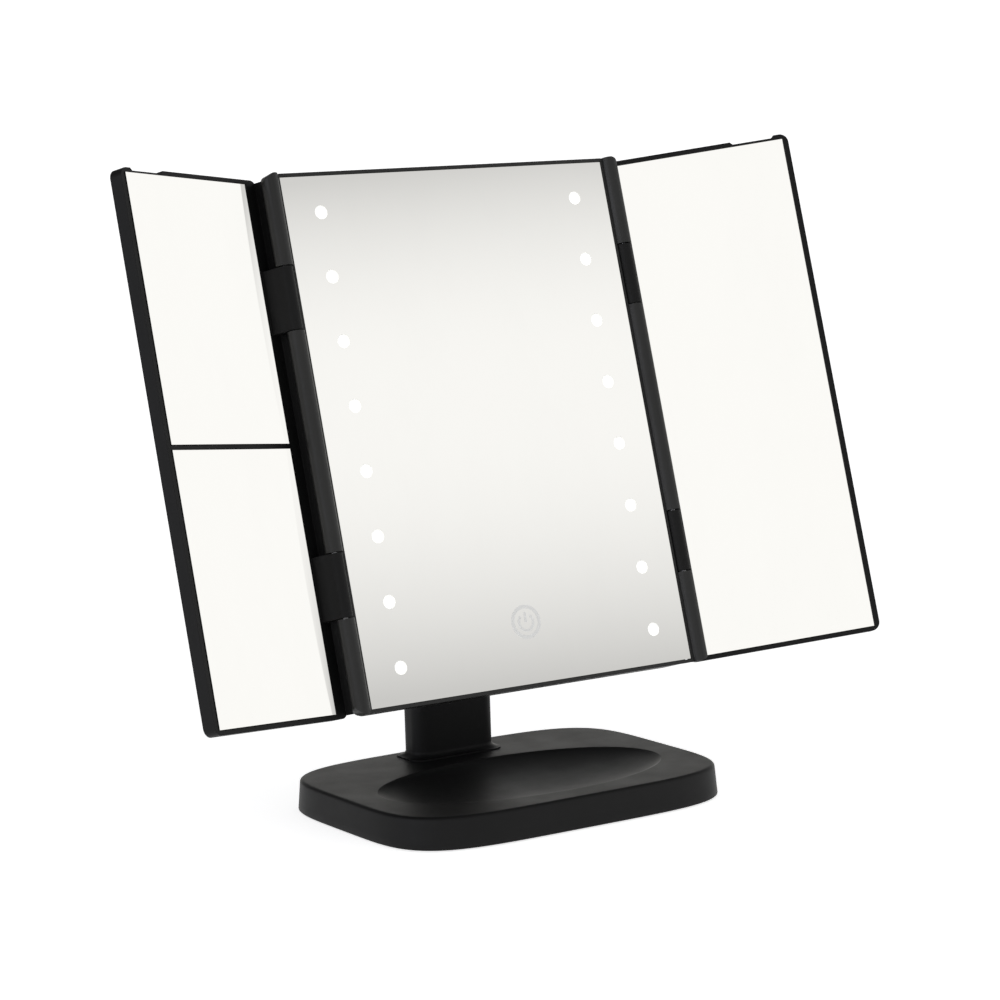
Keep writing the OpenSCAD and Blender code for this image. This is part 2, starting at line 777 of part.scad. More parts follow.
// The knob, shown at the low end of its travel
module switch_knob() {
    color(plastic_black) in_panel() translate([power_x, 0, switch_up - switch_travel / 2]) {
        block([-1.2, control_y + board_t + 1.3, -1.6], [1.2, panel_d - 0.2, 1.6]);
        difference() {
            block([-1.8, panel_d - 0.7, -2], [1.8, panel_d + 1.2, 2]);
            for (h = [-1, 0, 1]) block([-2, panel_d + 0.9, h - 0.2], [2, panel_d + 2, h + 0.2]);
        }
    }
}

// ---------- battery bay ----------

module battery_box() {
    low = bay_low - bay_wall;
    high = bay_low + bay_h + bay_wall;
    half = bay_w / 2 + bay_wall;
    front = cell_y - cell_r - 0.3;
    color(plastic_black) in_panel() difference() {
        block([-half, front - bay_wall, low], [half, cell_y + cell_r - 1, high]);
        block([-bay_w / 2, front, bay_low], [bay_w / 2, hump_d, bay_low + bay_h]);
    }
    color(plastic_black) in_panel() for (side = [0, 1]) mirror([side, 0, 0])
        block([half, front - bay_wall, low + 8],
            [hump_w / 2 - wall - 0.1, front, high - 8]);
}

// Cell places: neighbours point opposite ways
module at_cells() {
    for (i = [0 : 3]) translate([(i - 1.5) * cell_pitch, cell_y, bay_low + bay_h / 2])
        rotate([i % 2 == 0 ? 0 : 180, 0, 0]) children();
}

module battery_cells() {
    color([0.25, 0.45, 0.6]) in_panel() at_cells() translate([0, 0, 2 - cell_len / 2])
        rotate_extrude() polygon([[0, 0], [cell_r - 0.3, 0], [cell_r, 0.3],
            [cell_r, cell_len - 1.6], [cell_r - 0.4, cell_len - 1.2], [1.9, cell_len - 1.2],
            [1.9, cell_len], [0, cell_len]]);
}

// Conical coil: radius falls from foot to tip; the gap between turns is measured on its points
least_gap = min([for (i = [0 : (coil_turns - 1) * coil_rings], k = [-2 : 2])
    norm(coil_point(i) - coil_point(i + coil_rings + k))]) - 2 * coil_wire;
echo(spring_least_gap = least_gap);
function coil_point(i) = let (t = i / (coil_turns * coil_rings), a = 360 * coil_turns * t,
    r = coil_foot + (coil_tip - coil_foot) * t)
    [r * cos(a), r * sin(a), coil_h * t];
module coil() {
    last = coil_turns * coil_rings;
    sides = 6;
    points = [for (i = [0 : last], k = [0 : sides - 1])
        let (p = coil_point(i), a = 360 * i / coil_rings, b = 360 * k / sides)
        p + coil_wire * [cos(b) * cos(a), cos(b) * sin(a), sin(b)]];
    walls = [for (i = [0 : last - 1], k = [0 : sides - 1])
        let (n = (k + 1) % sides, a = i * sides)
        for (face = [[a + k, a + n, a + sides + k], [a + n, a + sides + n, a + sides + k]]) face];
    ends = [[for (k = [0 : sides - 1]) sides - 1 - k], [for (k = [0 : sides - 1]) last * sides + k]];
    polyhedron(points, concat(ends, walls), convexity = 6);
}

module battery_springs() {
    color(steel) in_panel() at_cells()
        translate([0, 0, -bay_h / 2 + contact_t + coil_wire]) coil();
}

module battery_contacts() {
    color([0.75, 0.7, 0.5]) in_panel() at_cells() for (end = [-1, 1])
        translate([0, 0, end * (bay_h / 2 - contact_t / 2)])
            cube([cell_pitch - 1.4, 2 * cell_r - 2, contact_t], center = true);
}

module battery_door() {
    inner = hump_w / 2 - 1.3 - fit;
    face = inner - door_lip;
    high = hump_high - 0.2;
    color(plastic_black) in_panel() difference() {
        union() {
            block([-inner, door_back - door_t, door_low + fit], [inner, door_back, high]);
            block([-face, door_back - 0.5, door_low + fit], [face, hump_d, high]);
        }
        for (i = [0 : 4]) block([-9, hump_d - 0.6, hump_high - 12 - 2.4 * i],
            [9, hump_d + 1, hump_high - 10.8 - 2.4 * i]);
    }
}

// ---------- wing hinges and wings ----------

module hinge_pins(side) {
    color(steel) in_panel() for (low = notches)
        translate([side * axis_x, axis_back, low - pin_grip + 0.3])
            cylinder(r = pin_r, h = notch_len + 2 * pin_grip - 0.6);
}

module left_hinge_pins() hinge_pins(-1);
module right_hinge_pins() hinge_pins(1);

module wing_outline() {
    translate([(wing_outer - wing_heel) / 2, glass_h / 2])
        round_rect(wing_outer + wing_heel, frame_h, wing_r);
}

// Frame, back and knuckles of a wing; openings is a list of [low, high], and each
// is cut to the seat over its whole width and to the floor inside a ledge;
// a lip along the heel reaches forward behind the rail and hides the gap
module wing_shell(openings, seat) {
    finger_x = wing_outer - 6.5 - finger_w;
    top = glass_h + border;
    difference() {
        union() {
            plate_y(wing_front, wing_rear) wing_outline();
            intersection() {
                plate_y(rail_r + gap, wing_front + 0.5) wing_outline();
                block([-wing_heel - 1, rail_r + gap - 1, -border - 1],
                    [lip_t - wing_heel, wing_front + 1, top + 1]);
            }
            for (low = notches) {
                translate([0, 0, low + gap])
                    cylinder(r = knuckle_r, h = notch_len - 2 * gap);
                block([-knuckle_r, 0, low + gap],
                    [knuckle_r, wing_front + 0.5, low + notch_len - gap]);
            }
        }
        for (span = openings) {
            block([wing_glass_in, wing_front - 1, span[0]],
                [wing_glass_in + wing_glass_w, seat, span[1]]);
            block([wing_glass_in + ledge, wing_front - 1, span[0] + ledge],
                [wing_glass_in + wing_glass_w - ledge, wing_floor, span[1] - ledge]);
        }
        for (low = notches) translate([0, 0, low])
            cylinder(r = pin_r + turn_clear, h = notch_len);
        plate_y(wing_front - 1, wing_rear + 1)
            polygon([[finger_x, top + 1], [finger_x, top], [finger_x + finger_d, top - finger_d],
                [finger_x + finger_w - finger_d, top - finger_d], [finger_x + finger_w, top],
                [finger_x + finger_w, top + 1]]);
    }
}

module left_wing_shell() {
    color(plastic_black) in_wing(-1) wing_shell(left_openings, wing_floor);
}

module right_wing_shell() {
    color(plastic_black) in_wing(1) wing_shell(right_openings, wing_back + glass_t + tape_t);
}

// Middle height of a span, depth of a curve at a radius, and its dip from the corners
function span_mid(span) = (span[0] + span[1]) / 2;
function sag(curve, r) = curve - sqrt(curve * curve - r * r);
function dip(span, curve) = sag(curve, norm([wing_glass_w, span[1] - span[0]]) / 2);

// Turns a profile of radius and height into a dish whose axis runs to the front
module dish_at(span, curve) {
    translate([wing_mid, wing_back + dip(span, curve), span_mid(span)]) rotate([90, 0, 0])
        rotate_extrude() children();
}

// Slumped mirror of even thickness, cut to its opening
module curved_mirror(span, curve) {
    color(mirror_silver) in_wing(-1) intersection() {
        dish_at(span, curve) polygon(concat(
            [for (i = [0 : lens_rings]) [lens_reach * i / lens_rings,
                sag(curve, lens_reach * i / lens_rings)]],
            [for (i = [lens_rings : -1 : 0]) [lens_reach * i / lens_rings,
                sag(curve, lens_reach * i / lens_rings) - lens_t]]));
        block([wing_glass_in + fit, wing_front, span[0] + fit],
            [wing_glass_in + wing_glass_w - fit, wing_rear, span[1] - fit]);
    }
}

module left_mirror_upper() curved_mirror(left_openings[1], upper_curve);
module left_mirror_lower() curved_mirror(left_openings[0], lower_curve);

// Ring of adhesive between a curved mirror and the wing floor
module mirror_pad(span, curve) {
    rise = sag(curve, pad_r) - lens_t - 0.01;
    slope = pad_r / curve;
    floor_at = wing_back + dip(span, curve) - wing_floor + 0.01;
    dish_at(span, curve) polygon([[pad_r - 5, floor_at], [pad_r + 5, floor_at],
        [pad_r + 5, rise + 5 * slope], [pad_r - 5, rise - 5 * slope]]);
}

module left_mirror_pads() {
    color([0.25, 0.25, 0.25]) in_wing(-1) {
        mirror_pad(left_openings[1], upper_curve);
        mirror_pad(left_openings[0], lower_curve);
    }
}

module right_mirror() {
    span = right_openings[0];
    color(mirror_silver) in_wing(1) block([wing_glass_in + fit, wing_back, span[0] + fit],
        [wing_glass_in + wing_glass_w - fit, wing_back + glass_t, span[1] - fit]);
}

module right_mirror_tape() {
    span = right_openings[0];
    back = wing_back + glass_t;
    color([0.2, 0.2, 0.2]) in_wing(1) difference() {
        block([wing_glass_in + 0.4, back, span[0] + 0.4],
            [wing_glass_in + wing_glass_w - 0.4, back + tape_t, span[1] - 0.4]);
        block([wing_glass_in + ledge, back - 1, span[0] + ledge],
            [wing_glass_in + wing_glass_w - ledge, back + 2, span[1] - ledge]);
    }
}

base_shell();
base_bottom_plate();
base_ballast();
base_screws();
anti_slip_pad();
neck_post();
neck_screws();
tilt_axle();
axle_nut();
spring_washer();
friction_washers();
hinge_caps();
centre_frame();
centre_mirror();
mirror_tape();
light_windows();
led_board_left();
led_board_right();
leds_left();
leds_right();
touch_electrode();
control_board();
power_socket();
switch_body();
switch_knob();
rear_cover();
rear_screws();
battery_box();
battery_cells();
battery_springs();
battery_contacts();
battery_door();
left_hinge_pins();
right_hinge_pins();
left_wing_shell();
left_mirror_upper();
left_mirror_lower();
left_mirror_pads();
right_wing_shell();
right_mirror();
right_mirror_tape();
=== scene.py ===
"""Looks of a trifold lighted vanity mirror: satin black plastic, silvered glass, milky lights.

Lengths are in millimetres in the tables below and in metres once they reach a mesh. The panel has
its own frame, x to the right, y back and z up the glass, which leans back and hangs on the tilt axis.
"""
import math

import bmesh
import bpy
import numpy as np
from mathutils import Matrix, Vector


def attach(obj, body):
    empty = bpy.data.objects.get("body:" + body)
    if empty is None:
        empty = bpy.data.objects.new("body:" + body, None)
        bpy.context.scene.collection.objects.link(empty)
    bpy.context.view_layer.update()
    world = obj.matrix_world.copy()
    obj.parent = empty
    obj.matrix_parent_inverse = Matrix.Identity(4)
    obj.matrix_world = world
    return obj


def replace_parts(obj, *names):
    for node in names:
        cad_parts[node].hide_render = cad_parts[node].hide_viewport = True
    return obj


MM = 0.001
TILT = math.radians(15.5)
PIVOT = (31.0, 108.0)  # tilt axis, behind the middle of the base and above the table
PIVOT_IN_PANEL = (41.0, 64.0)  # the same axis behind the glass front and above its lower edge
GLASS_H = 230.0
HINGE_X, HINGE_BACK = 88.2, 0.2
FOLD_LEFT = math.radians(24.3)

BASE_HALF, BASE_CORNER = (85.5, 63.5), 4.6  # half width and depth, and the power of its outline
BASE_FOOT, BASE_TOP = 0.5, 14.5
BASE_EDGE, BASE_DRAFT = 1.5, 1.0
DISH_HALF, DISH_CORNER = (70.5, 38.1), 2.05
DISH_MIDDLE, DISH_DEPTH = (0.0, -11.6), 5.5
NECK_BACK, NECK_HALF, NECK_CORNER = 48.7, (21.0, 8.0), 6.5
BARREL_R, BARREL_HALF, AXLE_HOLE_R = 10.5, 13.5, 3.1
LIGHT_X, LIGHT_TOP, LIGHT_PITCH, LIGHT_COUNT = 66.0, 16.2, 28.3, 8
TOUCH_UP = 27.2
WING_GLASS_MIDDLE, WING_GLASS_HALF, WING_GLASS_BACK = 44.0, 38.8, 10.8
LENS_THICK = 1.2
PAPER_HALF = 30000.0


# ---------- places ----------


def panel_to_world(p):
    """Turns panel points (…, 3) about X by the lean and hangs them on the tilt axis."""
    p = np.asarray(p, float)
    y = p[..., 1] - PIVOT_IN_PANEL[0]
    z = p[..., 2] - PIVOT_IN_PANEL[1]
    c, s = math.cos(TILT), math.sin(TILT)
    return np.stack([p[..., 0], PIVOT[0] + y * c + z * s, PIVOT[1] - y * s + z * c], -1)


def left_wing_to_world(p):
    """Turns points of the left wing, x outwards, about its hinge axis and mirrors them to the left."""
    p = np.asarray(p, float)
    c, s = math.cos(FOLD_LEFT), math.sin(FOLD_LEFT)
    x = p[..., 0] * c + p[..., 1] * s
    y = p[..., 1] * c - p[..., 0] * s
    return panel_to_world(np.stack([-(HINGE_X + x), HINGE_BACK + y, p[..., 2]], -1))


# ---------- surfaces ----------


def mesh_object(name, points, faces, smooth_below=None):
    """One mesh from points in millimetres and a list of face index arrays; edges sharper than
    smooth_below degrees stay crisp."""
    mesh = bpy.data.meshes.new(name)
    mesh.from_pydata((np.reshape(points, (-1, 3)) * MM).tolist(), [],
                     [f.tolist() for block in faces for f in block])
    mesh.validate()
    ob = bpy.data.objects.new(name, mesh)
    bpy.context.scene.collection.objects.link(ob)
    if smooth_below is not None:
        mesh.shade_smooth()
        mesh.set_sharp_from_angle(angle=math.radians(smooth_below))
    return ob


def quads(rows, cols, wrap_rows=False, wrap_cols=False, start=0):
    """Faces of a grid of points; a wrapped side joins its last line to its first."""
    r = np.arange(rows if wrap_rows else rows - 1)
    c = np.arange(cols if wrap_cols else cols - 1)
    r, c = (a.ravel() for a in np.meshgrid(r, c, indexing="ij"))
    r2, c2 = (r + 1) % rows, (c + 1) % cols
    return start + np.stack([r * cols + c, r * cols + c2, r2 * cols + c2, r2 * cols + c], -1)


def fan(ring, hub):
    """Triangles from a closed ring of indices to a hub point."""
    return np.stack([ring, np.roll(ring, -1), np.full(len(ring), hub)], -1)


def skin(name, rings, smooth_below=40):
    """A closed skin through rings (n, m, 3): quads between rings and a fan to the middle of the
    first and the last ring."""
    n, m = rings.shape[:2]
    hubs = np.stack([rings[0].mean(0), rings[-1].mean(0)])
    points = np.concatenate([rings.reshape(-1, 3), hubs])
    first, last = np.arange(m), (n - 1) * m + np.arange(m)
    faces = [quads(n, m, wrap_cols=True), fan(first[::-1], n * m), fan(last, n * m + 1)]
    return mesh_object(name, points, faces, smooth_below)


def superellipse(angles, half_w, half_d, power):
    """Outline |x/a|^p + |y/b|^p = 1, as points (…, 2) for arrays of angles and half sizes."""
    c, s = np.cos(angles), np.sin(angles)
    return np.stack([half_w * np.sign(c) * np.abs(c) ** (2 / power),
                     half_d * np.sign(s) * np.abs(s) ** (2 / power)], -1)


def swept(name, path, sides, ups, profile, closed=False, smooth_below=40):
    """Carries a closed profile along a path: point = path + u * side + v * up, for every station."""
    n, m = len(path), len(profile)
    rings = path[:, None] + profile[None, :, :1] * sides[:, None] + profile[None, :, 1:] * ups[:, None]
    if not closed:
        return skin(name, rings, smooth_below)
    return mesh_object(name, rings, [quads(n, m, True, True)], smooth_below)


def turned(name, profile, places, to_world, segments=32, smooth_below=35):
    """Turned pieces: each profile point (radius, y) runs once round the y axis at every place."""
    a = np.linspace(0, 2 * np.pi, segments, endpoint=False)
    r, y = profile[:, 0], profile[:, 1]
    shape = np.stack([r[:, None] * np.cos(a), np.broadcast_to(y[:, None], (len(r), segments)),
                      r[:, None] * np.sin(a)], -1)
    n, m = shape.shape[:2]
    hubs = np.stack([shape[0].mean(0), shape[-1].mean(0)])
    one = np.concatenate([shape.reshape(-1, 3), hubs])
    points = to_world(one[None] + np.asarray(places, float)[:, None])
    faces = []
    for k in range(len(places)):
        o = k * len(one)
        faces += [quads(n, m, wrap_cols=True, start=o), fan(o + np.arange(m)[::-1], o + n * m),
                  fan(o + (n - 1) * m + np.arange(m), o + n * m + 1)]
    return mesh_object(name, points, faces, smooth_below)


def outward(ob):
    """Points every face of a closed piece outwards."""
    bm = bmesh.new()
    bm.from_mesh(ob.data)
    bmesh.ops.remove_doubles(bm, verts=bm.verts, dist=1e-7)
    bmesh.ops.recalc_face_normals(bm, faces=bm.faces)
    bm.to_mesh(ob.data)
    bm.free()
    return ob


def eased(node, width, angle=35):
    """A copy of a CAD node with merged corners, whole flat faces and small round edges."""
    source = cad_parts[node]
    mesh = source.data.copy()
    bm = bmesh.new()
    bm.from_mesh(mesh)
    bmesh.ops.remove_doubles(bm, verts=bm.verts, dist=2e-6)
    bmesh.ops.dissolve_limit(bm, angle_limit=math.radians(0.8), verts=bm.verts, edges=bm.edges)
    bm.to_mesh(mesh)
    bm.free()
    ob = bpy.data.objects.new(node + "_eased", mesh)
    bpy.context.scene.collection.objects.link(ob)
    mesh.shade_smooth()
    mesh.set_sharp_from_angle(angle=math.radians(angle))
    bevel = ob.modifiers.new("edges", "BEVEL")
    bevel.width = width * MM
    bevel.segments = 2
    bevel.limit_method = "ANGLE"
    bevel.angle_limit = math.radians(angle)
    bevel.harden_normals = True
    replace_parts(ob, node)
    return ob


# ---------- finishes ----------


class Wire:
    """A number that flows between shader nodes; Python's operators add the Math nodes."""

    def __init__(self, finish, socket):
        self.finish, self.socket = finish, socket

    def _math(self, operation, *values, clamp=False):
        sockets = {i: v for i, v in enumerate(values)}
        node = self.finish.node("ShaderNodeMath", {"operation": operation, "use_clamp": clamp}, sockets)
        return Wire(self.finish, node.outputs[0])

    def __add__(self, other):
        return self._math("ADD", self, other)

    __radd__ = __add__

    def __sub__(self, other):
        return self._math("SUBTRACT", self, other)

    def __rsub__(self, other):
        return self._math("SUBTRACT", other, self)

    def __mul__(self, other):
        return self._math("MULTIPLY", self, other)

    __rmul__ = __mul__

    def __pow__(self, other):
        return self._math("POWER", self, other)

    def ramp(self, low, high):
        """0 at low, 1 at high and straight in between, held outside; low may be the greater."""
        return self._math("MULTIPLY", self - low, 1.0 / (high - low), clamp=True)


class Finish:
    """A material with its node tree; node() makes every node in it."""

    def __init__(self, name, tree_owner=None):
        self.owner = tree_owner or bpy.data.materials.new(name)
        self.owner.use_nodes = True
        self.tree = self.owner.node_tree
        self.tree.nodes.clear()

    def node(self, kind, settings=None, sockets=None):
        made = self.tree.nodes.new(kind)
        for key, value in (settings or {}).items():
            setattr(made, key, value)
        for key, value in (sockets or {}).items():
            put(self.tree, made.inputs[key], value)
        return made

    def place(self, scale=(1, 1, 1)):
        """Object coordinates in metres, scaled by a Mapping node; a small scale draws a pattern out."""
        where = self.node("ShaderNodeTexCoord").outputs["Object"]
        return self.node("ShaderNodeMapping", {"vector_type": "POINT"}, {
            "Vector": where, "Scale": scale}).outputs[0]

    def grain(self, vector, scale, detail=3.0, rough=0.55):
        """Soft random pattern from 0 to 1, scale in bumps per metre."""
        made = self.node("ShaderNodeTexNoise", {"noise_dimensions": "3D"}, {
            "Vector": vector, "Scale": scale, "Detail": detail, "Roughness": rough})
        return Wire(self, made.outputs[0])

    def cells(self, vector, scale):
        """Distance to the nearest of scattered points, scale in cells per metre."""
        made = self.node("ShaderNodeTexVoronoi", {"feature": "F1"}, {"Vector": vector, "Scale": scale})
        return Wire(self, made.outputs["Distance"])

    def blend(self, factor, a, b):
        """Colour a turning into colour b as factor goes from 0 to 1."""
        made = self.node("ShaderNodeMix", {"data_type": "RGBA"}, {0: factor, 6: a, 7: b})
        return made.outputs[2]

    def bump(self, height, distance, strength=1.0):
        made = self.node("ShaderNodeBump", None, {
            "Height": height, "Distance": distance, "Strength": strength})
        return made.outputs[0]

    def surface(self, **sockets):
        """The Principled shader, joined to the output; spaces in socket names are written _."""
        shader = self.node("ShaderNodeBsdfPrincipled", None,
                           {k.replace("_", " "): v for k, v in sockets.items()})
        self.node("ShaderNodeOutputMaterial", None, {"Surface": shader.outputs[0]})
        return self.owner


def put(tree, socket, value):
    """Links a socket or a Wire, or stores a plain number, colour or vector."""
    if isinstance(value, Wire):
        value = value.socket
    if isinstance(value, bpy.types.NodeSocket):
        tree.links.new(value, socket)
    elif hasattr(socket.default_value, "__len__"):
        value = tuple(value)
        wanted = len(socket.default_value)
        socket.default_value = value + (1.0,) * (wanted - len(value))
    else:
        socket.default_value = value


def moulded(name, dark, light, rough, specular=0.25, depth=0.000012):
    """Spark-eroded plastic: fine even grain, faint cloudy tone and worn-in gloss changes."""
    f = Finish(name)
    where = f.place()
    cloud = f.grain(where, 9.0, 2.0)
    fine = f.grain(where, 1500.0, 2.0, 0.6)
    rub = f.grain(where, 60.0, 4.0).ramp(0.35, 0.75)
    colour = f.blend(cloud.ramp(0.3, 0.7), dark, light)
    return f.surface(Base_Color=colour, Roughness=rough + rub * 0.06 + fine * 0.05,
                     Specular_IOR_Level=specular, Normal=f.bump(fine, depth, 0.5))


def silvered(name, tint, rolled=0.0):
    """Silvered glass: mirror bright, with the faintest wiping haze in its roughness. Where rolled
    is given, in metres, the glass rises by rolled * q^2.6 towards the hinge, for q from 0 to 1 over
    the first quarter of the piece's own UV map, as pressed magnifying glass does near its edge."""
    f = Finish(name)
    where = f.place(scale=(1.0, 1.0, 0.35))
    haze = f.grain(where, 22.0, 5.0, 0.7).ramp(0.45, 0.8)
    colour = f.blend(haze, tint, [c * 0.985 for c in tint])
    finish = {"Base_Color": colour, "Metallic": 1.0, "Roughness": 0.012 + haze * 0.02}
    if rolled:
        across = f.node("ShaderNodeSeparateXYZ", None, {0: f.node("ShaderNodeUVMap", {
            "uv_map": "across"}).outputs[0]})
        finish["Normal"] = f.bump(Wire(f, across.outputs[0]).ramp(0.27, 0.0) ** 2.6, rolled)
    return f.surface(**finish)


def frosted(name):
    """Etched line in the silvering: matt, a little darker than the mirror round it."""
    f = Finish(name)
    speck = f.grain(f.place(), 2600.0, 2.0)
    colour = f.blend(speck, (0.70, 0.70, 0.69), (0.78, 0.78, 0.77))
    return f.surface(Base_Color=colour, Metallic=0.6, Roughness=0.35 + speck * 0.1)


def milky(name):
    """Opal light window, glowing with the light behind it."""
    f = Finish(name)
    speck = f.grain(f.place(), 900.0, 2.0)
    colour = f.blend(speck, (0.93, 0.93, 0.9), (0.97, 0.97, 0.95))
    return f.surface(Base_Color=colour, Roughness=0.3 + speck * 0.05, Subsurface_Weight=0.0,
                     Emission_Color=colour, Emission_Strength=0.35)


def plated(name, colour, rough):
    """Zinc-plated steel: fine lengthwise scratches and a patchy dull bloom."""
    f = Finish(name)
    where = f.place(scale=(1.0, 1.0, 0.08))
    streak = f.grain(where, 1800.0, 3.0)
    bloom = f.grain(f.place(), 130.0, 3.0).ramp(0.35, 0.7)
    tone = f.blend(bloom, colour, [c * 0.82 for c in colour])
    return f.surface(Base_Color=tone, Metallic=1.0, Roughness=rough + bloom * 0.1 + streak * 0.08,
                     Normal=f.bump(streak, 0.000006, 0.4))


def soft_foam(name, colour):
    """Closed-cell foam or rubber: a dull face pitted by small cells, with painted shade darkening the
    colour towards the bottom of each pit.
    """
    f = Finish(name)
    pit_depth_and_shade = f.cells(f.place(), 1400.0)
    # painted shade: the colour is darkest at the bottom of each pit, where the bump dips deepest
    tone = f.blend(pit_depth_and_shade.ramp(0.1, 0.8), colour, [min(1.0, c * 1.6 + 0.01) for c in colour])
    return f.surface(Base_Color=tone, Roughness=0.85 + pit_depth_and_shade * 0.08, Specular_IOR_Level=0.2,
                     Normal=f.bump(pit_depth_and_shade, 0.00004, 0.6))


def circuit(name, mask, track):
    """Solder mask over copper tracks that run in straight lanes."""
    f = Finish(name)
    lane = f.node("ShaderNodeTexWave", {"wave_type": "BANDS", "bands_direction": "X"}, {
        "Vector": f.place(), "Scale": 190.0, "Distortion": 2.0, "Detail": 1.0})
    lanes = Wire(f, lane.outputs[1]).ramp(0.62, 0.7)
    tone = f.blend(lanes, mask, track)
    return f.surface(Base_Color=tone, Roughness=0.38 + lanes * 0.12,
                     Normal=f.bump(lanes, 0.00002, 0.5))


def waxy(name, dark, light):
    """Natural nylon or resin: slightly cloudy, soft gloss."""
    f = Finish(name)
    cloud = f.grain(f.place(), 240.0, 3.0)
    return f.surface(Base_Color=f.blend(cloud, dark, light), Roughness=0.3 + cloud * 0.15)


def foil(name, colour):
    """Bare rolled foil with rolling lines."""
    f = Finish(name)
    lines = f.grain(f.place(scale=(1.0, 1.0, 0.05)), 2500.0, 2.0)
    return f.surface(Base_Color=f.blend(lines, colour, [c * 0.8 for c in colour]), Metallic=1.0,
                     Roughness=0.28 + lines * 0.12)


def sleeve(name, colour, band):
    """Plain shrink sleeve of a battery: two tones of lacquer."""
    f = Finish(name)
    cloud = f.grain(f.place(), 80.0, 2.0)
    return f.surface(Base_Color=f.blend(cloud.ramp(0.4, 0.6), colour, band), Metallic=0.4,
                     Roughness=0.3 + cloud * 0.1)


def dress(node, finish):
    """Gives a CAD node its finish in every slot."""
    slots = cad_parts[node].material_slots
    if not slots:
        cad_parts[node].data.materials.append(finish)
    for s in slots:
        s.material = finish


def wear(ob, finish, body):
    """A new piece's finish and the body it rides on."""
    ob.data.materials.clear()
    ob.data.materials.append(finish)
    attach(ob, body)
    return ob


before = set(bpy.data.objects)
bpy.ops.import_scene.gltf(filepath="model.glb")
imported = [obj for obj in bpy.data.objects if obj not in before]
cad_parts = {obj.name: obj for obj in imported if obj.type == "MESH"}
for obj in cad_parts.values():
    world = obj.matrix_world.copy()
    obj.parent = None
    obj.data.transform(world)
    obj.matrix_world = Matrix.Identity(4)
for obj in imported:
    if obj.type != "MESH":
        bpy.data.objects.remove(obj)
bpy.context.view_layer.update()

BLACK = moulded("satin_black_plastic", (0.0045, 0.0045, 0.0047), (0.0065, 0.0065, 0.0065), 0.45, 0.14,
               depth=0.00002)
CHARCOAL = moulded("satin_charcoal_plastic", (0.008, 0.008, 0.0077), (0.011, 0.011, 0.0105), 0.4, 0.33)
INNER = moulded("plain_black_plastic", (0.012, 0.012, 0.0125), (0.02, 0.02, 0.02), 0.5)
SILVER = silvered("silvered_glass", (0.918, 0.909, 0.877))
MAGNIFIER = silvered("magnifying_glass", (0.918, 0.909, 0.877), 0.0036)
ETCHED = frosted("etched_silvering")
OPAL = milky("opal_window")
STEEL = plated("zinc_plated_steel", (0.56, 0.56, 0.58), 0.26)
NYLON = waxy("natural_nylon", (0.66, 0.64, 0.58), (0.76, 0.74, 0.68))
RUBBER = soft_foam("fine_rubber", (0.018, 0.018, 0.019))
FOAM = soft_foam("foam_tape", (0.05, 0.05, 0.052))
BOARD_WHITE = circuit("white_board", (0.72, 0.72, 0.68), (0.62, 0.62, 0.57))
BOARD_GREEN = circuit("green_board", (0.01, 0.09, 0.035), (0.03, 0.17, 0.06))
LED_RESIN = waxy("light_resin", (0.85, 0.7, 0.2), (0.9, 0.8, 0.38))
COPPER = foil("copper_foil", (0.78, 0.42, 0.27))
CONTACT = foil("contact_plate", (0.72, 0.69, 0.6))
CELL = sleeve("battery_sleeve", (0.03, 0.09, 0.17), (0.05, 0.14, 0.24))

# ---------- base ----------


def base_skin():
    """Base shell: rings of superellipses from the underside's middle out to the foot, up the drafted
    wall and round top edge, level to the dish rim and down a bowl z = top - depth * (1 - f^2.5)^0.67."""
    a = np.linspace(0, 2 * np.pi, 160, endpoint=False) + 1e-4
    top, edge, draft = BASE_TOP, BASE_EDGE, BASE_DRAFT

    def level_ring(xy, z):
        return np.column_stack([xy, np.full(len(a), z)])

    def outline(z, inset):
        return level_ring(superellipse(a, BASE_HALF[0] - inset, BASE_HALF[1] - inset, BASE_CORNER), z)

    def dish_outline(z, inset=0.0, share=1.0):
        xy = superellipse(a, (DISH_HALF[0] - inset) * share, (DISH_HALF[1] - inset) * share, DISH_CORNER)
        return level_ring(xy + np.array(DISH_MIDDLE), z)

    rings = [outline(5.4, k) for k in (60.0, 20.0, 5.5, 4.4)]
    rings += [outline(z, i) for z, i in ((0.8, 4.4), (BASE_FOOT, 4.0), (BASE_FOOT, 0.7), (0.62, 0.35),
                                         (0.9, 0.1), (1.3, 0.0))]
    rings += [outline(z, draft * (z - 1.1) / 13.4) for z in (4.0, 7.0, 10.0, 12.0, 12.9)]
    turn = np.linspace(0, np.pi / 2, 8)[1:]
    rings += [outline(top - edge * (1 - math.sin(t)), draft + edge * (1 - math.cos(t)) - 0.107)
              for t in turn]
    outer, rim = outline(top, 2.4), dish_outline(top)
    rings += [outer * (1 - t) + rim * t for t in (0.04, 0.3, 0.65, 0.94, 1.0)]
    rings += [dish_outline(top - 0.3 * (1 - math.cos(t)), 0.63 * math.sin(t))
              for t in np.linspace(0, 1.25, 6)[1:]]
    rings += [dish_outline(top - DISH_DEPTH * (1 - f ** 2.5) ** 0.67, 0.6, f)
              for f in (0.994, 0.985, 0.97, 0.945, 0.91, 0.87, 0.82, 0.76, 0.69, 0.6, 0.5, 0.38, 0.25,
                        0.12, 0.03)]
    return skin("base_skin", np.array(rings), 34)


base = outward(base_skin())
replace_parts(base, "base_shell")
wear(base, BLACK, "base")

# ---------- neck ----------


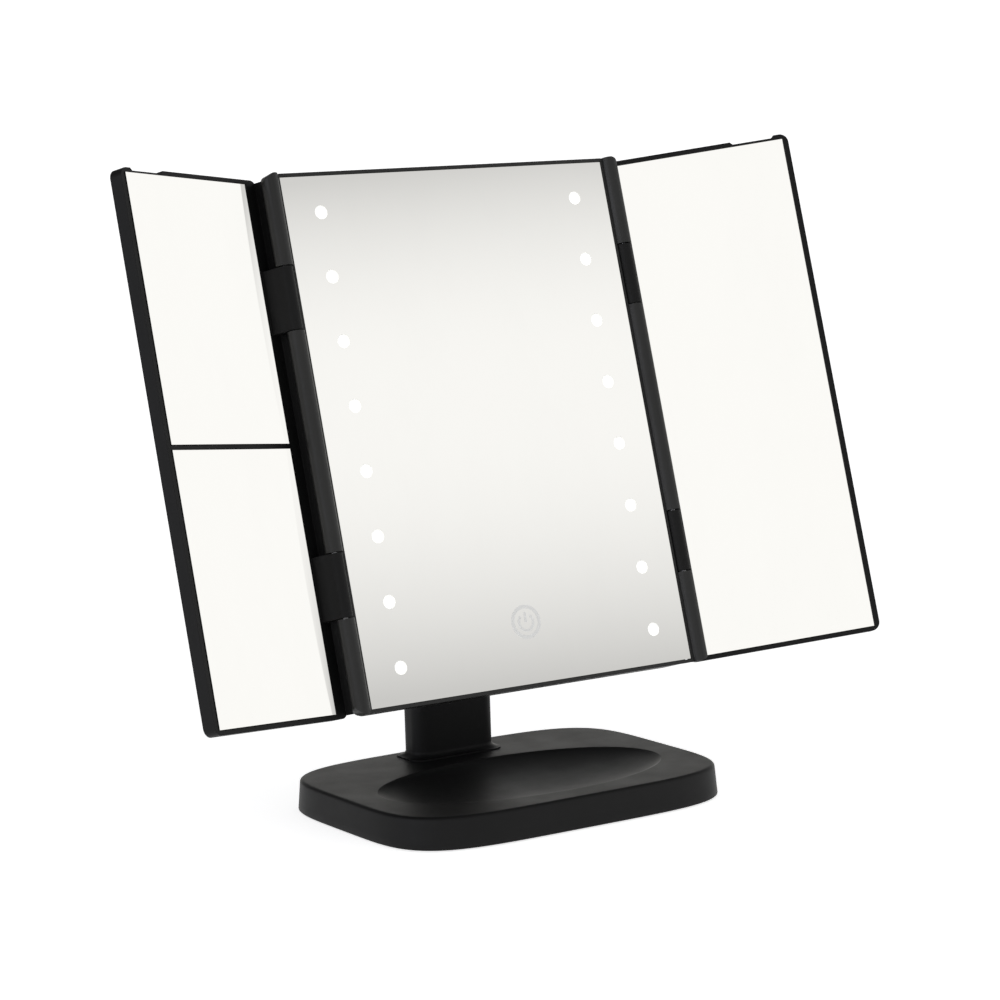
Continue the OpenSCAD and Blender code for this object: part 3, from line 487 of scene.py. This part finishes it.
def neck_path():
    """Middle line of the neck in y and z: straight up from the base, then a cubic bend forward."""
    heights = (BASE_TOP, 15.0, 15.08, 15.3, 15.7, 16.2, 16.8, 17.3, 17.5, 17.9, 30.0, 45.0)
    foot = np.array([[NECK_BACK, z] for z in heights])
    t = np.linspace(0, 0.86, 22)[:, None]
    k = np.array([[NECK_BACK, 60.0], [NECK_BACK, 90.0], [44.0, 101.0], PIVOT])
    bend = ((1 - t) ** 3 * k[0] + 3 * (1 - t) ** 2 * t * k[1] + 3 * (1 - t) * t ** 2 * k[2]
            + t ** 3 * k[3])
    return np.concatenate([foot, bend])


def neck_skin():
    """Neck: a rounded rectangle carried along the middle line, flared like a trumpet at the foot and
    drawn in to the barrel's length at the top."""
    yz = neck_path()
    slope = np.gradient(yz, axis=0)
    slope /= np.linalg.norm(slope, axis=1)[:, None]
    path = np.column_stack([np.zeros(len(yz)), yz])
    side = np.tile([1.0, 0.0, 0.0], (len(yz), 1))
    back = np.column_stack([np.zeros(len(yz)), slope[:, 1], -slope[:, 0]])
    rise = np.clip((yz[:, 1] - 15.0) / 2.5, 0, 1)
    flare = 3.0 * (1 - np.sqrt(1 - (1 - rise) ** 2))
    reach = np.linalg.norm(yz - np.array(PIVOT), axis=1)
    shoulder = np.clip((reach - 12.8) / 2.2, 0, 1)
    widening = NECK_HALF[0] - BARREL_HALF
    half_w = BARREL_HALF + widening * shoulder ** 2 * (3 - 2 * shoulder) + flare
    a = np.linspace(0, 2 * np.pi, 96, endpoint=False)
    corner = np.stack([np.cos(a), np.sin(a)], -1)
    r = NECK_CORNER
    u = np.sign(corner[:, 0])[None] * (half_w - r)[:, None] + r * corner[:, 0][None]
    v = np.sign(corner[:, 1])[None] * (NECK_HALF[1] + flare - r)[:, None] + r * corner[:, 1][None]
    rings = path[:, None] + u[..., None] * side[:, None] + v[..., None] * back[:, None]
    return skin("neck_skin", rings, 40)


neck = outward(neck_skin())
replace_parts(neck, "neck_post")
wear(neck, BLACK, "base")

barrel_side = np.array([[AXLE_HOLE_R, -BARREL_HALF], [BARREL_R - 0.6, -BARREL_HALF],
                        [BARREL_R - 0.2, 0.2 - BARREL_HALF], [BARREL_R, 0.6 - BARREL_HALF]])
barrel_edge = np.concatenate([barrel_side, barrel_side[::-1] * (1, -1)])
turn = np.linspace(0, 2 * np.pi, 64, endpoint=False)
barrel_rings = np.stack([np.broadcast_to(barrel_edge[:, 1:], (8, 64)),
                         PIVOT[0] + barrel_edge[:, :1] * np.cos(turn),
                         PIVOT[1] + barrel_edge[:, :1] * np.sin(turn)], -1)
barrel = outward(mesh_object("neck_barrel", barrel_rings, [quads(8, 64, True, True)], 40))
wear(barrel, BLACK, "base")

# ---------- lights and touch mark ----------

light_z = GLASS_H - LIGHT_TOP - LIGHT_PITCH * np.arange(LIGHT_COUNT)
light_places = [(x, 0.0, z) for x in (-LIGHT_X, LIGHT_X) for z in light_z]
dome = np.array([[2.95, 3.3], [3.02, 3.2], [3.02, 0.1], [2.98, 0.0], [2.88, -0.09], [2.6, -0.18],
                 [2.1, -0.27], [1.4, -0.34], [0.6, -0.38]])
windows = outward(turned("opal_windows", dome, light_places, panel_to_world))
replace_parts(windows, "light_windows")
wear(windows, OPAL, "head")


def touch_mark(name, path, width, closed):
    """A flat etched line: a shallow profile carried along a path on the glass, path in x and z."""
    ahead = np.roll(path, -1, 0) - np.roll(path, 1, 0) if closed else np.gradient(path, axis=0)
    ahead /= np.linalg.norm(ahead, axis=1)[:, None]
    sides = np.column_stack([-ahead[:, 1], np.zeros(len(path)), ahead[:, 0]])
    ups = np.tile([0.0, -1.0, 0.0], (len(path), 1))
    h = width / 2
    profile = np.array([[-h, 0.0], [-h, 0.03], [h, 0.03], [h, 0.0]])
    points = np.column_stack([path[:, 0], np.zeros(len(path)), path[:, 1]])
    ob = swept(name, points, sides, ups, profile, closed, 30)
    flat = np.empty(len(ob.data.vertices) * 3)
    ob.data.vertices.foreach_get("co", flat)
    moved = panel_to_world(flat.reshape(-1, 3) / MM) * MM
    ob.data.vertices.foreach_set("co", moved.ravel())
    outward(ob)
    return wear(ob, ETCHED, "head")


ring = np.linspace(0, 2 * np.pi, 96, endpoint=False)
touch_mark("touch_ring", np.stack([6.75 * np.cos(ring), TOUCH_UP + 6.7 * np.sin(ring)], -1), 1.6, True)
arc, sign_up = np.radians(np.linspace(130, 410, 48)), TOUCH_UP - 0.2
touch_mark("touch_arc", np.stack([3.6 * np.cos(arc), sign_up + 3.6 * np.sin(arc)], -1), 1.25, False)
touch_mark("touch_bar", np.stack([np.zeros(6), np.linspace(sign_up, 31.5, 6)], -1), 1.25, False)

# ---------- curved mirrors of the left wing ----------


def curved_mirror(name, low, high, depth):
    """Magnifying mirror: a grid over its opening, hollowed like a cushion between level edges,
    y = back + depth * (1 - u^2) * (1 - w^2) for u and w from -1 to 1, made thick by Solidify.
    Its border edges are marked sharp, so the face keeps its own shading out to the rim."""
    u, w = np.meshgrid(np.linspace(-1, 1, 40), np.linspace(-1, 1, 56))
    x = WING_GLASS_MIDDLE + WING_GLASS_HALF * u
    z = (low + high) / 2 + ((high - low) / 2 - 0.2) * w
    y = WING_GLASS_BACK + depth * (1 - u ** 2) * (1 - w ** 2)
    ob = mesh_object(name, left_wing_to_world(np.stack([x, y, z], -1)), [quads(56, 40)], 30)
    corner = np.empty(len(ob.data.loops), int)
    ob.data.loops.foreach_get("vertex_index", corner)
    across = np.stack([u.ravel(), w.ravel()], -1)[corner] / 2 + 0.5
    ob.data.uv_layers.new(name="across").data.foreach_set("uv", across.ravel())
    ends = np.empty(2 * len(ob.data.edges), int)
    ob.data.edges.foreach_get("vertices", ends)
    border = (np.maximum(abs(u), abs(w)) > 0.9999).ravel()[ends.reshape(-1, 2)].all(1)
    ob.data.edges.foreach_set("use_edge_sharp", border)
    wall = ob.modifiers.new("thickness", "SOLIDIFY")
    wall.thickness = LENS_THICK * MM
    wall.offset = -1.0
    return wear(ob, MAGNIFIER, "left_wing")


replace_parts(curved_mirror("magnifier_upper", 116.4, 229.5, 0.9), "left_mirror_upper")
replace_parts(curved_mirror("magnifier_lower", 0.5, 114.6, 1.2), "left_mirror_lower")

# ---------- moulded shells with eased edges ----------

for node, width, finish, body, slot in (
        ("centre_frame", 0.35, CHARCOAL, "head", "charcoal_plastic"),
        ("rear_cover", 0.45, BLACK, "head", "black_plastic"),
        ("left_wing_shell", 0.35, BLACK, "left_wing", "black_plastic"),
        ("right_wing_shell", 0.35, BLACK, "right_wing", "black_plastic"),
        ("battery_door", 0.25, BLACK, "battery_door", "black_plastic"),
        ("hinge_caps", 0.2, BLACK, "head", "black_plastic"),
        ("switch_knob", 0.12, BLACK, "switch_knob", "black_plastic")):
    wear(eased(node, width), finish, body)

for finish, nodes in (
        (INNER, ("base_bottom_plate", "battery_box")),
        (STEEL, ("base_ballast", "base_screws", "neck_screws", "tilt_axle", "axle_nut",
                 "spring_washer", "power_socket", "switch_body", "battery_springs",
                 "left_hinge_pins", "right_hinge_pins", "rear_screws")),
        (RUBBER, ("anti_slip_pad",)), (NYLON, ("friction_washers",)),
        (SILVER, ("centre_mirror", "right_mirror")),
        (FOAM, ("mirror_tape", "left_mirror_pads", "right_mirror_tape")),
        (BOARD_WHITE, ("led_board_left", "led_board_right")), (BOARD_GREEN, ("control_board",)),
        (LED_RESIN, ("leds_left", "leds_right")), (COPPER, ("touch_electrode",)),
        (CONTACT, ("battery_contacts",)), (CELL, ("battery_cells",))):
    for node in nodes:
        dress(node, finish)

# ---------- studio ----------


def floor_sheet():
    """Seamless paper: flat underfoot, z = 0, with nothing standing on it but the base."""
    n = 24
    x, y = np.meshgrid(np.linspace(-PAPER_HALF, PAPER_HALF, n), np.linspace(-PAPER_HALF, PAPER_HALF, n))
    return mesh_object("paper_floor", np.stack([x, y, np.zeros_like(x)], -1), [quads(n, n)], 30)


paper = Finish("white_paper")
tooth = paper.grain(paper.place(), 40.0, 4.0)
white = paper.blend(tooth, (0.955, 0.955, 0.955), (0.965, 0.965, 0.965))
paper_mat = paper.surface(Base_Color=white, Roughness=0.9 + tooth * 0.05, Specular_IOR_Level=0.0,
                          Emission_Color=white, Emission_Strength=0.74)
floor = floor_sheet()
floor.data.materials.append(paper_mat)

# The studio is a sky by direction: white all round, dusk where the centre mirror looks, a dark lid
# overhead, a dark corner to the back left, and a bright low strip behind and to the left.
world = bpy.data.worlds.new("studio")
bpy.context.scene.world = world
sky = Finish("studio", world)
way = sky.node("ShaderNodeSeparateXYZ", None,
               {0: sky.node("ShaderNodeTexCoord").outputs["Generated"]})
gx, gy, gz = (Wire(sky, way.outputs[i]) for i in range(3))
front = gx * 0.566 - gy * 0.824
toward = front.ramp(0.80, 0.885) * front.ramp(0.992, 0.978) * gx.ramp(0.62, 0.598)
drop = gx * 0.3546 - gy * 2.8047 - gz * 5.1083 - 0.155
dusk = drop.ramp(0.42, 0.0) ** 2.4 * 0.33 + drop.ramp(0.48, 1.0) ** 2.15 * 0.385
lid = (gz + gy * 0.2).ramp(0.37, 0.62)
corner = (gy * 0.839 - gx * 0.545).ramp(0.62, 0.92)
behind = gy.ramp(0.3, 0.6) * gz.ramp(0.28, 0.12)
beside = (gx * -1.0).ramp(0.75, 0.95)
level = ((1.055 - toward * (dusk + 0.035)) * (1.0 - lid * 0.8) * (1.0 - corner * 0.85)
         * (1.0 + behind * 0.85 + beside * 1.4))
tone = sky.blend(beside, sky.blend(behind, (1.0, 1.0, 1.0), (1.0, 0.98, 0.92)), (0.95, 0.97, 1.06))
sky.node("ShaderNodeOutputWorld", None, {
    "Surface": sky.node("ShaderNodeBackground", None, {
        "Color": tone, "Strength": level}).outputs[0]})

camera = bpy.data.cameras.new("camera")
camera.lens, camera.sensor_width, camera.clip_start, camera.clip_end = 108.50, 36.0, 0.05, 200.0
eye = bpy.data.objects.new("camera", camera)
bpy.context.scene.collection.objects.link(eye)
ahead = Vector((0.53880, 0.83120, -0.13711)).normalized()
right = Vector((0.83645, -0.54721, -0.03032)).normalized()
up = right.cross(ahead)
eye.matrix_world = Matrix((
    (right.x, up.x, -ahead.x, -0.71036), (right.y, up.y, -ahead.y, -1.09642),
    (right.z, up.z, -ahead.z, 0.31599), (0, 0, 0, 1)))
bpy.context.scene.camera = eye
bpy.context.scene.view_settings.view_transform = "Standard"
